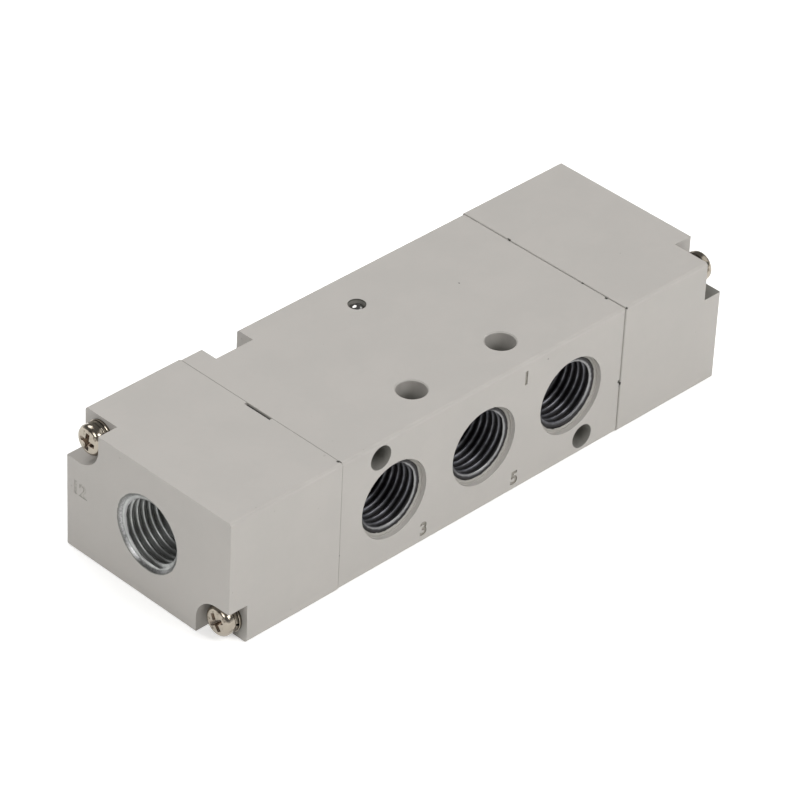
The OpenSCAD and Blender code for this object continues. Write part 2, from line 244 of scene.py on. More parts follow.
# The roots' colours are painted shade in the thread grooves, and the lip's is a painted highlight
ROOT_SHADE = (0.045, 0.043, 0.043)
THREAD_CREST = (0.195, 0.197, 0.215)
LIP_HIGHLIGHT = (0.30, 0.30, 0.30)
PILOT_ROOT_SHADE = (0.22, 0.225, 0.22)
PILOT_CREST = (0.43, 0.44, 0.43)
NICKEL = (0.375, 0.335, 0.278)
NICKEL_DARK = (0.10, 0.080, 0.060)
RECESS_METAL = (0.30, 0.25, 0.205)
STEEL = (0.36, 0.355, 0.34)
STEEL_DARK = (0.30, 0.30, 0.29)
ALUMINIUM = (0.60, 0.60, 0.62)
RUBBER = (0.018, 0.018, 0.018)
ACETAL = (0.74, 0.72, 0.66)
FLOOR_COLOR = (0.88, 0.88, 0.87)

# Values of a noise between which a pattern goes from one tone to the other
SOFT_SPAN = (0.3, 0.7)
CRISP_SPAN = (0.35, 0.65)
TARNISH_SPAN = (0.52, 0.75)
CHIP_SPAN = (0.70, 0.73)
SPECK_SPAN = (0.885, 0.90)

# Sizes of a normal along its main axis, on a rounded edge and on a flat face, and its Z from sides to top
EDGE_TO_FACE = (0.75, 0.97)
SIDE_TO_TOP = (0.5, 0.9)

# Radii round the axes of ports, bore and chambers that tell bare metal from paint, the width of the
# dark ring between them, of chipped paint and painted shade, and how deep the chambers are
PORT_RECESS = 7.3 * MM
PORT_PAINT_EDGE = 6.70 * MM
PILOT_PAINT_EDGE = 7.16 * MM
DARK_RING_WIDTH = 0.14 * MM
BORE_WALL = 6.9 * MM
CHAMBER_WALL = 9.1 * MM
CHAMBER_DEPTH = 10.1 * MM

# Ragged end of the paint round a thread: how far it wanders, and how softly the paint and the metal end
EDGE_SWING = 0.40 * MM
PAINT_SOFTNESS = 0.02 * MM
METAL_SOFTNESS = 0.03 * MM

# How far inside the sunk face's rim its painted shade starts, and between which distances inside
# the paint's edge the bare metal darkens towards it with painted shade
RECESS_RIM = (0.08 * MM, 0.02 * MM)
FACE_EDGE_SHADE = (0.50 * MM, 0.10 * MM)

# Painted highlight on a thread's lip: its radii and how far under the thread's top it reaches
LIP_RADII = (5.95 * MM, 6.20 * MM)
LIP_DEPTHS = (0.50 * MM, 0.35 * MM)

# Drilled holes. A margin takes in each hole's own wall
TOP_BOLTS = MOUNTS["top_bolts"]
TOP_HOLE_X = TOP_BOLTS["dims"]["spacing_x_mm"] / 2 * MM
TOP_HOLE_Y = TOP_BOLTS["pos_m"][1]
WALL_MARGIN = 0.02
TOP_HOLE_WALL = (TOP_BOLTS["dims"]["hole_r_mm"] + WALL_MARGIN) * MM
CROSS_HOLE_WALL = (MOUNTS["cross_bolts"]["dims"]["hole_r_mm"] + WALL_MARGIN) * MM
CROSS_HOLE = Vector((24.1, 0, 9.5)) * MM
BALL_HOLE_WALL = 1.6 * MM

# Painted shade at a hole's mouth and further down, and the depths between which one turns into the other
CROSS_SHADES = (0.60, 0.92)
TOP_SHADES = (0.15, 0.65)
BALL_SHADES = (1.0, 0.55)
DRILL_FADE = (0.2 * MM, 5 * MM)
BALL_FADE = (0.15 * MM, 0.45 * MM)

# Painted shade in the screw pockets: their floor, how high the shade reaches above it, and how it fades
# away from the screws
POCKET_FLOOR = CAP_END - 4 * MM
SHADE_HEIGHT = 3.2 * MM
WASHER_SHADE = (2.9 * MM, 5.2 * MM)
LEDGE_SHADE = (5.5 * MM, 7.0 * MM)
UPPER_STRENGTH = 0.05
LOWER_STRENGTH = 0.45
LEDGE_STRENGTH = 0.75

# The joints between body and caps: half the dark line's width, and its strength on the sides and on top
NEAR_SEAM = {"width": 0.15 * MM, "sides": 0.40, "top": 1.0}
FAR_SEAM = {"width": 0.26 * MM, "sides": 0.28, "top": 0.10}
SEAM_FADE = (0.3, 1.3)
SEAM_CHIP_REACH = (0.10 * MM, 0.30 * MM)
OUTER_SKIN = 0.8 * MM

# Small dark marks on the castings, each with its place and radius in mm
BODY_MARKS = [((32.58, -14.9, 25.3), 0.35), ((32.6, -19.0, 10.5), 0.4), ((14.3, -19.1, 23.7), 0.14),
              ((17.2, 4.6, 25.35), 0.12)]
CAP_MARKS = [((33.0, -19.2, 25.4), 0.3), ((-33.0, -18.3, 25.45), 0.3)]
MARK_FADE = (0.6, 1.2)


def darker(color, share):
    return tuple(share * part for part in color)


def rounded(shader):
    """0 on the flat faces and 1 in the middle of a rounded edge, which gets a painted shade that dulls its
    highlight.
    """
    sizes = [shader.math("ABSOLUTE", axis) for axis in shader.split(shader.coordinates["Normal"])]
    return shader.fall(shader.combine("MAXIMUM", sizes), *EDGE_TO_FACE)


def facing_up(shader):
    """1 where a face looks up and 0 on the sides."""
    return shader.spread(shader.split(shader.coordinates["Normal"])[2], *SIDE_TO_TOP)


def paint_layers(shader):
    """Colour, roughness and normal of the satin paint on the castings."""
    cloud = shader.noise(size=9 * MM, detail=3)
    mottle = shader.noise(size=1.3 * MM, detail=2)
    tone = shader.math("ADD", shader.math("MULTIPLY", cloud, 0.65), shader.math("MULTIPLY", mottle, 0.35))
    color = shader.mix(shader.spread(tone, *CRISP_SPAN), PAINT_DULL, PAINT)
    speck = shader.spread(shader.noise(size=0.7 * MM, detail=0), *SPECK_SPAN)
    color = shader.mix(shader.math("MULTIPLY", speck, 0.35), color, PAINT_SPECK_AND_SHADE)
    # Painted shade on the rounded edges, which dulls their highlights
    color = shader.mix(shader.math("MULTIPLY", rounded(shader), 0.12), color, PAINT_SPECK_AND_SHADE)
    rough = shader.spread(mottle, *SOFT_SPAN, 0.56, 0.64)
    waves = shader.bump(cloud, depth=0.05 * MM, strength=0.2)
    peel = shader.noise(size=0.42 * MM, detail=3, rough=0.6)
    return color, rough, shader.bump(peel, depth=0.010 * MM, strength=0.5, base=waves)


def line_distance(shader, flat, places):
    """Distance of a flattened point from the nearest of some flattened places."""
    return shader.combine("MINIMUM", [shader.vector("DISTANCE", flat, tuple(p), "Value") for p in places])


def port_distance(shader, ports):
    """Distance from the nearest of some port axes that run along Y."""
    flat = shader.vector("MULTIPLY", shader.point, (1, 0, 1))
    places = [(MOUNTS[port]["pos_m"][0], 0, MOUNTS[port]["pos_m"][2]) for port in ports]
    return line_distance(shader, flat, places)


def axis_distance(shader):
    """Distance from the bore axis, which runs along X."""
    flat = shader.vector("MULTIPLY", shader.point, (0, 1, 1))
    return line_distance(shader, flat, [(0, 0, AXIS_Z)])


def seam_line(shader):
    """Strength of the dark line in the joints between body and caps, and of the chips along it."""
    x, y, z = shader.axes()
    seam = shader.math("ABSOLUTE", shader.math("SUBTRACT", shader.math("ABSOLUTE", x), BODY_HIGH.x))
    far = shader.math("GREATER_THAN", x, 0.0)
    width = shader.blend(far, NEAR_SEAM["width"], FAR_SEAM["width"])
    line = shader.fall(shader.math("DIVIDE", seam, width), *SEAM_FADE)
    up = facing_up(shader)
    strengths = [shader.blend(up, joint["sides"], joint["top"]) for joint in (NEAR_SEAM, FAR_SEAM)]
    line = shader.math("MULTIPLY", line, shader.blend(far, *strengths))

    chips = shader.spread(shader.noise(size=2.1 * MM, detail=1), *CHIP_SPAN)
    chips = shader.math("MULTIPLY", chips, shader.fall(seam, *SEAM_CHIP_REACH))
    across = shader.math("SUBTRACT", shader.math("ABSOLUTE", y), BODY_HIGH.y)
    level = shader.math("ABSOLUTE", shader.math("SUBTRACT", z, AXIS_Z))
    level = shader.math("SUBTRACT", level, BODY_HIGH.z - AXIS_Z)
    outer = shader.math("GREATER_THAN", shader.math("MAXIMUM", across, level), -OUTER_SKIN)
    return line, shader.math("MULTIPLY", chips, outer)


def marks(shader, places):
    """Small ragged dark marks, each at (place in mm, radius in mm)."""
    ragged = shader.ragged(swing=0.5 * MM, size=0.35 * MM, detail=2)
    found = []
    for place, radius in places:
        away = shader.vector("DISTANCE", shader.point, tuple(Vector(place) * MM), "Value")
        reach = shader.math("ADD", away, ragged)
        start, end = (share * radius * MM for share in MARK_FADE)
        found.append(shader.fall(reach, start, end))
    return shader.combine("MAXIMUM", found)


def turned_face(shader, distance, paint_edge, chip_and_shade):
    """Colour of the bare metal within the paint's edge, with painted shade towards the edge, and its
    pattern.
    """
    turned = shader.noise(size=0.3 * MM, detail=3)
    metal = shader.mix(shader.spread(turned, *SOFT_SPAN), darker(BARE, 0.55), BARE)
    start, end = (paint_edge - inset for inset in FACE_EDGE_SHADE)
    # Painted shade on the bare metal, darker towards the paint's edge
    painted_shade = shader.spread(distance, start, end, 0.0, 0.75)
    return shader.mix(painted_shade, metal, darker(chip_and_shade, 0.5)), turned


def worn_casting(name, bare_distance, paint_edge, chip_and_shade, recess, machined, shaded, places):
    """Paint that is chipped off in a ragged ring round each thread, with bare metal within. The ring is
    dark with chipped paint and with painted shade where the thread's first groove lies.
    bare_distance, machined and shaded are functions of the shader: how far a point is from the nearest
    thread axis, where the casting is bare all the same, and how much painted shade its holes and pockets
    get.
    The ring's colour comes as an argument, and recess is the radius of the sunk face round the thread,
    which gets painted shade."""
    shader = material_shader(name)
    color, rough, normal = paint_layers(shader)
    line, chips = seam_line(shader)
    color = shader.mix(line, color, SEAM_SHADE)
    # Painted shade in the drilled holes and the screw pockets
    color = shader.mix(shaded(shader), color, HOLE_SHADE)
    distance = bare_distance(shader)
    # Painted shade on the sunk face round each thread
    sunk_start, sunk_end = (recess - inset for inset in RECESS_RIM)
    color = shader.mix(shader.fall(distance, sunk_start, sunk_end), color, RECESS_SHADE)
    color = shader.mix(shader.math("MAXIMUM", chips, marks(shader, places)), color, CHIP_AND_SHADE)

    reach = shader.math("ADD", distance, shader.ragged(EDGE_SWING, size=1.1 * MM, detail=4, rough=0.65))
    # Dark ring of chipped paint and painted shade where the thread's first groove lies
    chip_and_shade_ring = shader.fall(reach, paint_edge - PAINT_SOFTNESS, paint_edge + PAINT_SOFTNESS)
    color = shader.mix(chip_and_shade_ring, color, chip_and_shade)
    metal_edge = paint_edge - DARK_RING_WIDTH
    bare = shader.fall(reach, metal_edge - METAL_SOFTNESS, metal_edge + METAL_SOFTNESS)
    bare = shader.math("MAXIMUM", bare, machined(shader))
    metal, turned = turned_face(shader, distance, paint_edge, chip_and_shade)
    color = shader.mix(bare, color, metal)
    rough = shader.blend(bare, rough, shader.spread(turned, *SOFT_SPAN, 0.30, 0.42))
    normal = shader.bump(shader.blend(bare, 0.0, turned), depth=0.02 * MM, strength=0.5, base=normal)
    return shader.finish(color, rough, normal, metallic=bare)


def body_bare(shader):
    """Distance to the nearest port axis, on the side that the port is on."""
    rear = shader.math("GREATER_THAN", shader.axes()[1], 0.0)
    front = port_distance(shader, ("port_1", "port_3", "port_5"))
    return shader.blend(rear, front, port_distance(shader, ("port_2", "port_4")))


def body_inside(shader):
    """The bore."""
    return shader.math("LESS_THAN", axis_distance(shader), BORE_WALL)


def hole_shade(shader, from_axis, wall, depth, fade, shades):
    """Painted shade in a hole, which goes from the first of shades to the second between the two depths of
    fade.
    """
    inside = shader.math("LESS_THAN", from_axis, wall)
    return shader.math("MULTIPLY", inside, shader.spread(depth, *fade, *shades))


def body_holes(shader):
    """Painted shade in the drilled mounting holes and in the hole of the ball."""
    x, y, z = shader.axes()
    sideways = shader.vector("MULTIPLY", shader.point, (1, 0, 1))
    level = Vector((0, 0, AXIS_Z))
    upper = level + Vector((-CROSS_HOLE.x, 0, CROSS_HOLE.z))
    lower = level + Vector((CROSS_HOLE.x, 0, -CROSS_HOLE.z))
    from_cross = line_distance(shader, sideways, (upper, lower))
    cross_depth = shader.math("SUBTRACT", BODY_HIGH.y, shader.math("ABSOLUTE", y))
    cross = hole_shade(shader, from_cross, CROSS_HOLE_WALL, cross_depth, DRILL_FADE, CROSS_SHADES)

    downwards = shader.vector("MULTIPLY", shader.point, (1, 1, 0))
    twins = [(side * TOP_HOLE_X, TOP_HOLE_Y, 0) for side in (1, -1)]
    from_top = line_distance(shader, downwards, twins)
    top_depth = shader.math("SUBTRACT", BODY_HIGH.z, z)
    top = hole_shade(shader, from_top, TOP_HOLE_WALL, top_depth, DRILL_FADE, TOP_SHADES)

    low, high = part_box("ball_plug")
    from_ball = line_distance(shader, downwards, [(0, (low.y + high.y) / 2, 0)])
    ball = hole_shade(shader, from_ball, BALL_HOLE_WALL, top_depth, BALL_FADE, BALL_SHADES)
    return shader.combine("MAXIMUM", (cross, top, ball))


def cap_inside(shader):
    """The piston chamber, from the mating face to its floor."""
    x = shader.math("ABSOLUTE", shader.axes()[0])
    deep = shader.math("LESS_THAN", x, BODY_HIGH.x + CHAMBER_DEPTH)
    return shader.math("MULTIPLY", deep, shader.math("LESS_THAN", axis_distance(shader), CHAMBER_WALL))


def pocket_corners(shader):
    """Painted shade in the screw pockets: beside the washers at the near cap, and on the ledges at the far
    one.
    """
    flat = shader.vector("MULTIPLY", shader.point, (0, 1, 1))
    near_screws = []
    for place in ("a_upper", "a_lower"):
        low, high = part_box("cap_screw_" + place)
        near_screws.append(Vector((0, (low.y + high.y) / 2, (low.z + high.z) / 2)))
    far_screws = [Vector((0, -place.y, place.z)) for place in near_screws]
    x, y, z = shader.axes()
    far_cap = shader.math("GREATER_THAN", x, 0.0)
    near_reach = line_distance(shader, flat, near_screws)
    reach = shader.blend(far_cap, near_reach, line_distance(shader, flat, far_screws))
    x = shader.math("ABSOLUTE", x)
    within = shader.math("GREATER_THAN", x, POCKET_FLOOR - 0.05 * MM)

    # Painted shade beside the washers, stronger in the lower pockets
    deep = shader.math("MULTIPLY", within, shader.fall(x, POCKET_FLOOR, POCKET_FLOOR + SHADE_HEIGHT))
    close = shader.fall(reach, *WASHER_SHADE)
    low_pocket = shader.math("LESS_THAN", z, AXIS_Z)
    strength = shader.blend(low_pocket, UPPER_STRENGTH, LOWER_STRENGTH)
    beside_washers = shader.math("MULTIPLY", shader.math("MULTIPLY", deep, close), strength)

    # Painted shade on the far cap's upward ledges near the screws
    below_top = shader.math("LESS_THAN", z, BODY_HIGH.z - 1 * MM)
    ledge = shader.math("MULTIPLY", shader.math("MULTIPLY", within, below_top), facing_up(shader))
    ledge = shader.math("MULTIPLY", ledge, shader.fall(reach, *LEDGE_SHADE, level=LEDGE_STRENGTH))
    return shader.blend(far_cap, beside_washers, ledge)


def engraved_paint(name, color):
    """Grey-brown floor and walls of the stamped port numbers."""
    shader = material_shader(name)
    grain = shader.noise(size=0.35 * MM, detail=3)
    tone = shader.mix(shader.spread(grain, *CRISP_SPAN), darker(color, 0.75), color)
    return shader.finish(tone, rough=0.62, normal=shader.bump(grain, depth=0.03 * MM, strength=0.6))


def cut_thread(name, root_shade, crest, low, high, streak, top):
    """Tapped metal, which goes from the crests' colour at radius low to the roots' painted shade at high,
    with a painted highlight on the lip at the mouth. The piece's own Z is the thread's axis, and the thread
    starts at the depth top."""
    shader = material_shader(name)
    radius = shader.vector("LENGTH", shader.vector("MULTIPLY", shader.point, (1, 1, 0)), (0, 0, 0), "Value")
    chatter = shader.ragged(swing=0.30 * MM, size=0.5 * MM, detail=3, stretch=(1, 1, 3))
    reach = shader.math("ADD", radius, chatter)
    worn = shader.spread(shader.noise(size=1.6 * MM, detail=3), *CRISP_SPAN, 0.55, 1.0)
    share = shader.math("MULTIPLY", shader.fall(reach, low, high), worn)
    lip_start, lip_end = (-top - depth for depth in LIP_DEPTHS)
    lip = shader.spread(shader.axes()[2], lip_start, lip_end)
    lip = shader.math("MULTIPLY", lip, shader.fall(reach, *LIP_RADII))
    # Roots take painted shade, and the first crest at the mouth takes a painted highlight
    color = shader.mix(lip, shader.mix(share, root_shade, crest), LIP_HIGHLIGHT)
    scratch = shader.noise(size=0.16 * MM, detail=2, stretch=(1, 1, 6))
    normal = shader.bump(scratch, depth=0.012 * MM, strength=streak)
    return shader.finish(color, shader.blend(share, 0.50, 0.40), normal, metallic=1.0)


def plated(name, color, dark, rough, painted_shade=0.0):
    """Bright plating with fine pits and slightly tarnished patches. The pieces lie along X, and painted
    shade darkens them where they sit on each other, at X = 0."""
    shader = material_shader(name)
    patch = shader.noise(size=0.9 * MM, detail=3)
    tone = shader.mix(shader.spread(patch, *TARNISH_SPAN), color, dark)
    # Painted shade where the pieces sit on each other
    seat = shader.fall(shader.math("ABSOLUTE", shader.axes()[0]), 0.10 * MM, 0.26 * MM, level=painted_shade)
    tone = shader.mix(seat, tone, darker(dark, 0.4))
    rough = shader.spread(patch, *SOFT_SPAN, rough, rough + 0.12)
    pits = shader.bump(shader.noise(size=0.12 * MM, detail=2), depth=0.004 * MM, strength=0.5)
    return shader.finish(tone, rough, pits, metallic=1.0)


def turned_metal(name, color):
    """Turned bar stock: fine rings across the X axis."""
    shader = material_shader(name)
    rings = shader.noise(size=0.10 * MM, detail=2, stretch=(1, 0.02, 0.02))
    tone = shader.mix(shader.spread(rings, *SOFT_SPAN), darker(color, 0.8), color)
    rough = shader.spread(rings, *SOFT_SPAN, 0.22, 0.36)
    return shader.finish(tone, rough, shader.bump(rings, depth=0.006 * MM, strength=0.6), metallic=1.0)


def moulded(name, color, rough, grain_size, gloss):
    """Moulded rubber or plastic with a fine grain."""
    shader = material_shader(name)
    grain = shader.noise(size=grain_size, detail=3)
    tone = shader.mix(shader.spread(grain, *SOFT_SPAN), darker(color, 0.8), color)
    rough = shader.spread(grain, *SOFT_SPAN, rough - 0.06, rough + 0.06)
    return shader.finish(tone, rough, shader.bump(grain, depth=0.01 * MM, strength=0.5), gloss=gloss)


# Mesh helpers
MERGE_DISTANCE = 1e-7
SLIVER_LENGTH = 1e-8


def merge_corners(mesh, outward=False):
    """Joins corners that lie on each other, and turns the faces outward where asked."""
    bm = bmesh.new()
    bm.from_mesh(mesh)
    bmesh.ops.remove_doubles(bm, verts=bm.verts, dist=MERGE_DISTANCE)
    if outward:
        bmesh.ops.recalc_face_normals(bm, faces=bm.faces)
    bm.to_mesh(mesh)
    bm.free()


def mesh_from(bm, name, sharp_angle=math.radians(35)):
    """Closes a bmesh off as smooth shaded mesh data with sharp edges past an angle."""
    bmesh.ops.remove_doubles(bm, verts=bm.verts, dist=MERGE_DISTANCE)
    bmesh.ops.dissolve_degenerate(bm, edges=bm.edges, dist=SLIVER_LENGTH)
    bmesh.ops.recalc_face_normals(bm, faces=bm.faces)
    mesh = bpy.data.meshes.new(name)
    bm.to_mesh(mesh)
    bm.free()
    mesh.shade_smooth()
    mesh.set_sharp_from_angle(angle=sharp_angle)
    return mesh


def evaluated(piece, name):
    """Mesh data of an object with its modifiers applied."""
    graph = bpy.context.evaluated_depsgraph_get()
    mesh = bpy.data.meshes.new_from_object(piece.evaluated_get(graph))
    mesh.name = name
    return mesh


def cut_away(piece, cutter, overlapping=False):
    """Modifier that cuts a solid out of a piece. The cut faces keep the solid's material.
    overlapping is for a solid that runs into itself."""
    cut = piece.modifiers.new("cut", "BOOLEAN")
    cut.operation = "DIFFERENCE"
    cut.solver = "EXACT"
    cut.use_self = overlapping
    cut.material_mode = "TRANSFER"
    cut.object = cutter


def ring(bm, radius, z, columns):
    """Circle of vertices about Z."""
    turn = 2 * math.pi / columns
    verts = []
    for j in range(columns):
        verts.append(bm.verts.new((radius * math.cos(turn * j), radius * math.sin(turn * j), z)))
    return verts


def bridge(bm, first, second):
    """Band of faces between two rings of as many vertices."""
    count = len(first)
    for j in range(count):
        k = (j + 1) % count
        bm.faces.new((first[j], first[k], second[k], second[j]))


def helical_wall(bm, radius_at, top, bottom, pitch, rows, columns):
    """Threaded wall about Z whose rows follow a right-handed helix and end in flat rings.
    radius_at takes a height and the share of a pitch that has passed there. Gives the two end rings."""
    count = math.ceil(rows * (2 + (top - bottom) / pitch)) + 1
    grid = []
    for i in range(count):
        row = []
        for j in range(columns):
            turn = j / columns
            z = min(top, max(bottom, top + pitch * (1 - i / rows + turn)))
            radius = radius_at(z, (z - top) / pitch - turn)
            angle = 2 * math.pi * turn
            row.append(bm.verts.new((radius * math.cos(angle), radius * math.sin(angle), z)))
        grid.append(row)
    for i in range(count - 1):
        for j in range(columns):
            if j + 1 < columns:
                right = (grid[i][j + 1], grid[i + 1][j + 1])
            else:
                right = (grid[max(i - rows, 0)][0], grid[max(i + 1 - rows, 0)][0])
            corners = [grid[i][j], right[0], right[1], grid[i + 1][j]]
            if len(set(corners)) == 4:
                bm.faces.new(corners)
            elif len(set(corners)) == 3:
                bm.faces.new(list(dict.fromkeys(corners)))
    return grid[0], grid[-1]


# Pipe threads in the seven ports
PIPE_PITCH = 25.4 / 19 * MM
PIPE_MINOR = 5.72 * MM
PIPE_MAJOR = 6.57 * MM
PIPE_OUTER = 6.575 * MM
PIPE_ROWS = 14
PIPE_COLUMNS = 96
PORT_DEPTH = 11 * MM
PILOT_DEPTH = 10.5 * MM
PORT_THREAD_TOP = 1.05 * MM
PILOT_THREAD_TOP = 0.5 * MM
CREST_FLAT = 0.09
WAVE_GAIN = 1.08
LEAD_SLOPE = 4.0

# Turns by which each thread starts later, which brings its crests towards the mouth
THREAD_STARTS = {"port_1": 0.37, "port_3": 0.37, "port_5": 0.19, "pilot_12": -0.15, "pilot_14": -0.15}


def pipe_thread_mesh(name, top, bottom, material):
    """Tapped wall of one port as a thin closed sleeve. The port's face is at Z = 0 and it opens to +Z."""
    middle = (PIPE_MINOR + PIPE_MAJOR) / 2
    swing = (PIPE_MAJOR - PIPE_MINOR) / 2

    def radius_at(z, share):
        wave = middle + swing * WAVE_GAIN * math.cos(2 * math.pi * share)
        cut = min(PIPE_MAJOR, max(PIPE_MINOR + CREST_FLAT * swing, wave))
        countersink = PIPE_OUTER - LEAD_SLOPE * (top - z)
        return max(cut, countersink)

    bm = bmesh.new()
    mouth, floor = helical_wall(bm, radius_at, top, bottom, PIPE_PITCH, PIPE_ROWS, PIPE_COLUMNS)
    outer_floor = ring(bm, PIPE_OUTER, bottom, PIPE_COLUMNS)
    bridge(bm, floor, outer_floor)
    bridge(bm, outer_floor, mouth)
    mesh = mesh_from(bm, name, sharp_angle=math.radians(50))
    mesh.materials.append(material)
    return mesh


def face_point(mount):
    """Where a port's axis comes out of the outer face of its casting."""
    axis = Vector(mount["axis"])
    middle = Vector(mount["pos_m"])
    face = CAP_END if axis.x else BODY_HIGH.y
    return middle + axis * (face - middle.dot(axis))


def port_matrix(mount):
    """Turns a port's own frame, with its face at Z = 0 and +Z out of the valve, to its place."""
    turn = Vector(mount["axis"]).to_track_quat("Z", "Y").to_matrix()
    return Matrix.Translation(face_point(mount)) @ turn.to_4x4()


def make_threads():
    port_metal = cut_thread("port_metal", ROOT_SHADE, THREAD_CREST, low=5.74 * MM, high=6.38 * MM,
                            streak=0.6, top=PORT_THREAD_TOP)
    pilot_metal = cut_thread("pilot_metal", PILOT_ROOT_SHADE, PILOT_CREST, low=6.3 * MM, high=6.62 * MM,
                             streak=0.8, top=PILOT_THREAD_TOP)
    port_mesh = pipe_thread_mesh("port_thread", -PORT_THREAD_TOP, -PORT_DEPTH, port_metal)
    pilot_mesh = pipe_thread_mesh("pilot_thread", -PILOT_THREAD_TOP, -PILOT_DEPTH, pilot_metal)
    for name, mount in MOUNTS.items():
        if mount["kind"] != "threaded_hole":
            continue
        piece = new_object(name + "_thread", pilot_mesh if name.startswith("pilot") else port_mesh)
        start = Matrix.Rotation(-2 * math.pi * THREAD_STARTS.get(name, 0.0), 4, "Z")
        piece.matrix_world = port_matrix(mount) @ start
        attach(piece, "housing")


# Castings with their port numbers cut in
DIGIT_HEIGHT = 2.7 * MM
STROKE_GAIN = 0.034
BODY_DIGIT_DEPTH = 0.16 * MM
CAP_DIGIT_DEPTH = 0.08 * MM

# Where the middle of each number is: mm to the right of its port's axis and above it, seen from outside
DIGIT_PLACES = {"port_3": (7.15, -9.5), "port_5": (-12.8, -10.65), "port_1": (9.3, 9.4),
                "port_2": (7.3, -9.55), "port_4": (7.3, -9.55),
                "pilot_12": (-15.9, -0.15), "pilot_14": (-14.6, -0.15)}


def digit_cutter(text, depth, material):
    """Solid digits about the origin, standing in the XY plane and reaching depth above and below it."""
    curve = bpy.data.curves.new("digits", "FONT")
    curve.body = text
    curve.align_x = "CENTER"
    curve.extrude = 1
    curve.offset = STROKE_GAIN
    shape = new_object("digits", curve)
    mesh = evaluated(shape, "digits")
    bpy.data.objects.remove(shape)
    ys = [v.co.y for v in mesh.vertices]
    xs = [v.co.x for v in mesh.vertices]
    scale = DIGIT_HEIGHT / (max(ys) - min(ys))
    centre = Vector(((max(xs) + min(xs)) / 2, (max(ys) + min(ys)) / 2, 0))
    for v in mesh.vertices:
        v.co = Vector(((v.co.x - centre.x) * scale, (v.co.y - centre.y) * scale, v.co.z * depth))
    mesh.materials.clear()
    mesh.materials.append(material)
    merge_corners(mesh, outward=True)
    return mesh


def stamp(casting, port, depth, material):
    """Cuts a port's number into a casting, beside the port."""
    out = Vector(MOUNTS[port]["axis"])
    right = UP.cross(out)
    across, above = DIGIT_PLACES[port]
    place = face_point(MOUNTS[port]) + (right * across + UP * above) * MM
    cutter = new_object("cutter", digit_cutter(port.split("_")[1], depth, material))
    cutter.matrix_world = Matrix.Translation(place) @ Matrix((right, UP, out)).transposed().to_4x4()
    cut_away(casting, cutter, overlapping=True)
    bpy.context.view_layer.update()
    mesh = evaluated(casting, casting.name)
    casting.modifiers.clear()
    casting.data = mesh
    bpy.data.objects.remove(cutter)


def keep_normals(mesh):
    """Stores a mesh's corner normals as an attribute, which the cuts carry along."""
    layer = mesh.attributes.new("shade", "FLOAT_VECTOR", "CORNER")
    normals = [0.0] * (3 * len(mesh.loops))
    mesh.corner_normals.foreach_get("vector", normals)
    layer.data.foreach_set("vector", normals)


def restore_normals(mesh):
    """Shades a mesh by its stored normals, and flat where a cut left none."""
    kept = mesh.attributes["shade"].data
    chosen = []
    for face in mesh.polygons:
        for index in face.loop_indices:
            normal = Vector(kept[index].vector)
            chosen.append(normal.normalized() if normal.length > 0.5 else face.normal.copy())
    mesh.normals_split_custom_set(chosen)
    mesh.attributes.remove(mesh.attributes["shade"])


def stamped_casting(node, paint, ports, depth, ink):
    """Copy of a CAD casting with the numbers of some ports cut into it, which stands for the node."""
    name = node + "_casting"
    mesh = NODES[node].data.copy()
    mesh.name = name
    keep_normals(mesh)
    merge_corners(mesh)
    mesh.materials.clear()
    mesh.materials.append(paint)
    casting = new_object(name, mesh)
    for port in ports:
        stamp(casting, port, depth, ink)
    restore_normals(casting.data)
    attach(casting, "housing")
    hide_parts(node)


def make_castings():
    """The painted body and caps."""
    body_paint = worn_casting("body_paint", bare_distance=body_bare, paint_edge=PORT_PAINT_EDGE, chip_and_shade=CHIP_AND_SHADE,
                              recess=PORT_RECESS, machined=body_inside, shaded=body_holes,
                              places=BODY_MARKS)
    cap_paint = worn_casting("cap_paint", bare_distance=axis_distance, paint_edge=PILOT_PAINT_EDGE,
                             chip_and_shade=PILOT_CHIP_AND_SHADE, recess=PILOT_PAINT_EDGE, machined=cap_inside,
                             shaded=pocket_corners, places=CAP_MARKS)
    body_ink = engraved_paint("stamped_paint", BODY_NUMBERS)
    cap_ink = engraved_paint("stamped_plain", CAP_NUMBERS)
    body_ports = [port for port in DIGIT_PLACES if port.startswith("port")]
    stamped_casting("valve_body", body_paint, body_ports, BODY_DIGIT_DEPTH, body_ink)
    stamped_casting("end_cap_a", cap_paint, ["pilot_12"], CAP_DIGIT_DEPTH, cap_ink)
    stamped_casting("end_cap_b", cap_paint, ["pilot_14"], CAP_DIGIT_DEPTH, cap_ink)


# Screws
SCREW_COLUMNS = 48
SCREW_ROWS = 8
SCREW_PITCH = 0.5 * MM
SCREW_THREAD = 8 * MM
SCREW_CORE = 1.2 * MM
SHANK_RADIUS = 1.48 * MM
RIM_BREAK = 0.06 * MM
FRONT_FLAT = 1.85 * MM
FRONT_CROWN = 0.10 * MM
SHOULDER_DROP = 0.95 * MM
SHOULDER_STEPS = 8
CROWN_STEPS = 4

# Cross recess: how far its wings reach and half their width, at the head's front and at its floor
RECESS_FRONT = (1.72 * MM, 0.44 * MM)
RECESS_FLOOR = (0.66 * MM, 0.26 * MM)
RECESS_DEPTH = 1.45 * MM
RECESS_OVERRUN = 0.05 * MM
OVERRUN_FLARE = 1.02
EDGE_SOFTNESS = 0.035 * MM


